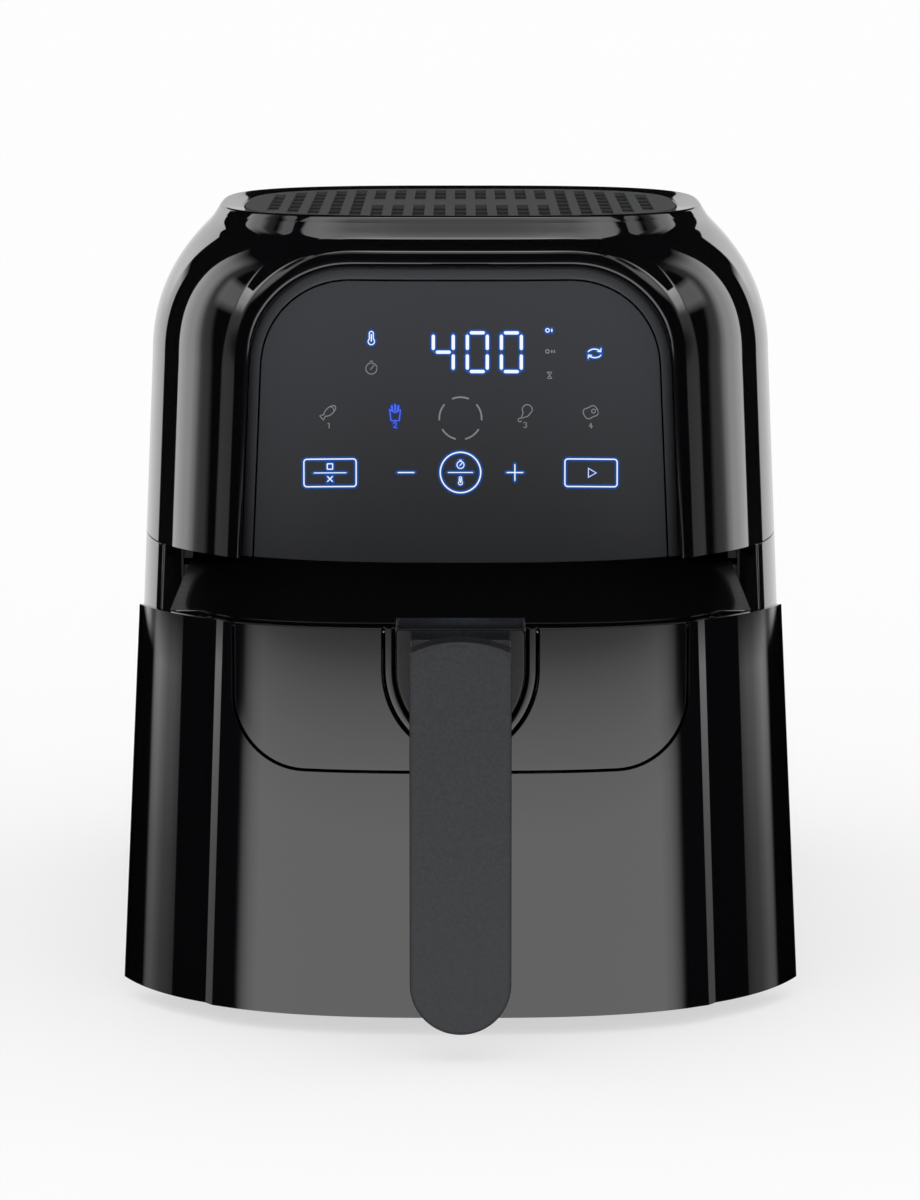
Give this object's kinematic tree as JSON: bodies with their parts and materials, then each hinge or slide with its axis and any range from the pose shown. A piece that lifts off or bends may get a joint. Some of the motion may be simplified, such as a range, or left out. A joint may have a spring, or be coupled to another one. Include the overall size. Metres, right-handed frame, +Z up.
{
  "type": "drawer air fryer",
  "caption": "Moulded drawer air fryer: vented top, touch panel under an arched hood, pull-out pan with crisper tray and front handle, fan and heater above the pan.",
  "frame": {"origin": "on the surface it stands on, at the centre of the body's footprint", "axes": "+Z up; -Y towards the user, the way the drawer comes out; +X to the right seen from the back, so it is the user's right"},
  "size_m": [0.2956, 0.5091, 0.3063],
  "materials": {
    "housing_gloss": "polished black moulding",
    "dark_plastic": "fine-grained black moulding",
    "foot_rubber": "black rubber",
    "grille_matte": "matte charcoal moulding",
    "bezel_satin": "satin charcoal frame",
    "panel_glass": "satin touch glass, printed dark behind",
    "board": "green circuit board with black parts",
    "gland": "black bush",
    "screw_steel": "zinc-plated steel",
    "liner_steel": "pressed aluminised steel",
    "rail_plastic": "black moulding",
    "heater_tube": "grey heater sheath",
    "wire_steel": "welded bright wire",
    "bright_steel": "bright steel",
    "ceramic": "white ceramic thermostat",
    "motor_metal": "pressed motor can",
    "fan_metal": "pressed aluminium",
    "switch_plastic": "black moulding",
    "plunger_red": "red moulding",
    "fan_plastic": "dark grey moulding",
    "drawer_gloss": "polished black moulding",
    "insert_gloss": "satin-gloss dark grey panel",
    "pan_coating": "dark grey non-stick coating",
    "surround_gloss": "polished black lip",
    "handle_satin": "satin charcoal",
    "grip_matte": "fine-textured matte charcoal",
    "tray_coating": "grey non-stick coating"
  },
  "bodies": {
    "housing": {"upper_housing": "housing_gloss", "lower_housing": "housing_gloss", "base_plate": "dark_plastic", "rubber_feet": "foot_rubber", "top_grille": "grille_matte", "panel_bezel": "bezel_satin", "touch_panel": "panel_glass", "display_board": "board", "rear_vent": "dark_plastic", "cord_gland": "gland", "base_screws": "screw_steel", "chamber_liner": "liner_steel", "bay_liner": "liner_steel", "bay_floor": "liner_steel", "guide_rail_left": "rail_plastic", "guide_rail_right": "rail_plastic", "heating_element": "heater_tube", "element_guard": "wire_steel", "temperature_probe": "bright_steel", "thermal_cutout": "ceramic", "motor_plate": "liner_steel", "motor_posts": "liner_steel", "fan_motor": "motor_metal", "motor_screws": "bright_steel", "power_board": "board", "interlock_switch": "switch_plastic"},
    "drawer": {"drawer_front": "drawer_gloss", "front_insert": "insert_gloss", "front_backing": "dark_plastic", "drawer_cap": "drawer_gloss", "pan": "pan_coating", "pan_bracket": "liner_steel", "handle_surround": "surround_gloss", "handle_arm": "handle_satin", "handle_grip": "grip_matte", "handle_screws": "screw_steel"},
    "tray": {"crisper_tray": "tray_coating", "tray_bumpers": "foot_rubber"},
    "fan_rotor": {"motor_shaft": "bright_steel", "convection_fan": "fan_metal", "fan_nut": "bright_steel", "cooling_fan": "fan_plastic"},
    "plunger": {"interlock_plunger": "plunger_red"}
  },
  "joints": [
    {"name": "drawer_slide", "type": "slide", "parent": "housing", "child": "drawer", "axis": [0, 1, 0], "range_m": [-0.012, 0.1645]},
    {"name": "tray_lift", "type": "slide", "parent": "drawer", "child": "tray", "axis": [0, 0, 1], "range_m": [0, 0.115]},
    {"name": "fan_spin", "type": "hinge", "parent": "housing", "child": "fan_rotor", "pos_m": [0, 0.0045, 0.24], "axis": [0, 0, 1], "continuous": true},
    {"name": "plunger_press", "type": "slide", "parent": "housing", "child": "plunger", "axis": [0, 1, 0], "range_m": [0, 0.003], "stiffness_N_per_m": 120, "springref_m": -0.004}
  ]
}
